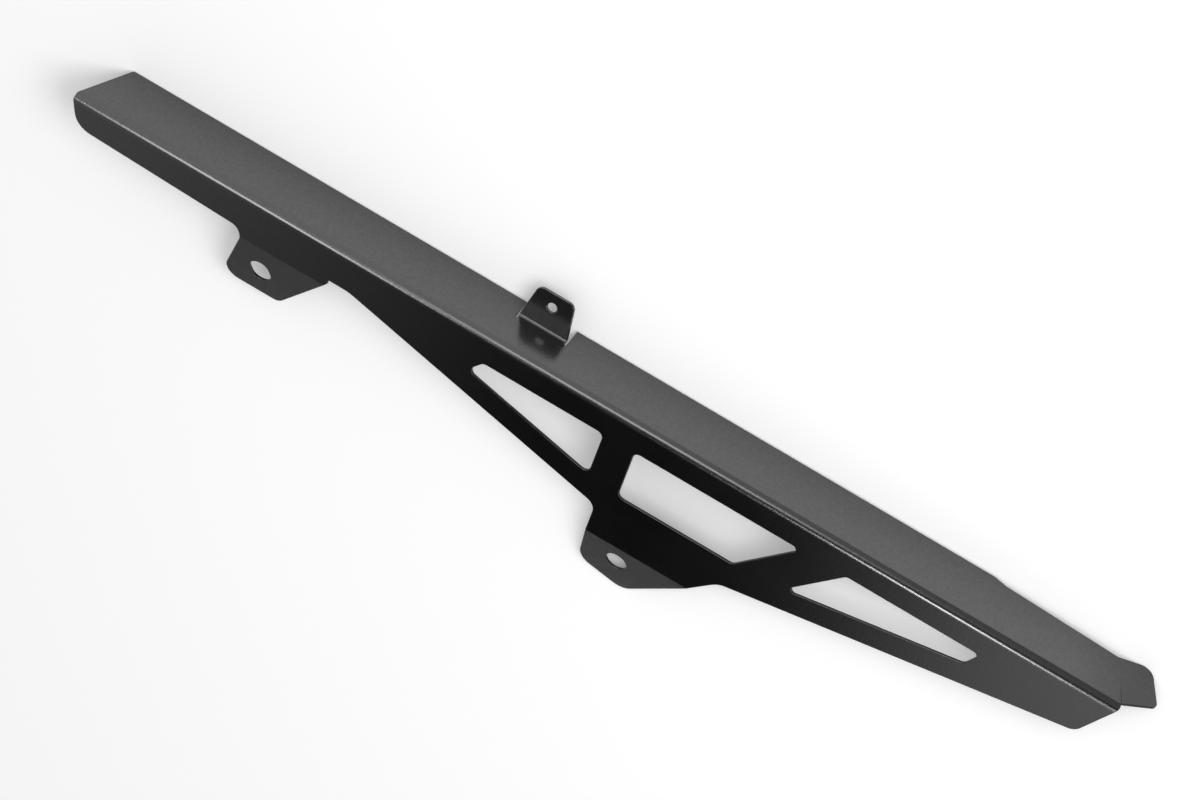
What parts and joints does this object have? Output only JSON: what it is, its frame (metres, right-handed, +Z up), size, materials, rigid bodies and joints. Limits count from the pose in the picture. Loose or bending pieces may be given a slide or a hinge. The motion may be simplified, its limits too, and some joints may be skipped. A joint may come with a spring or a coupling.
{
  "type": "motorcycle chain guard",
  "caption": "Long L-section sheet-metal chain guard with slanted ends, window cut-outs and bent fixing tabs.",
  "frame": {"origin": "centre of the hole in the upright tab, on the tab's face towards the side flange", "axes": "+X along the main fold towards the end with the lip, +Y from the side flange across the top flange to the rear edge, +Z up, square to the top flange"},
  "size_m": [0.5877, 0.0351, 0.1279],
  "materials": {
    "chain_guard": "satin fine-texture powder coat"
  },
  "bodies": {
    "root": {"chain_guard": "chain_guard"}
  },
  "joints": []
}
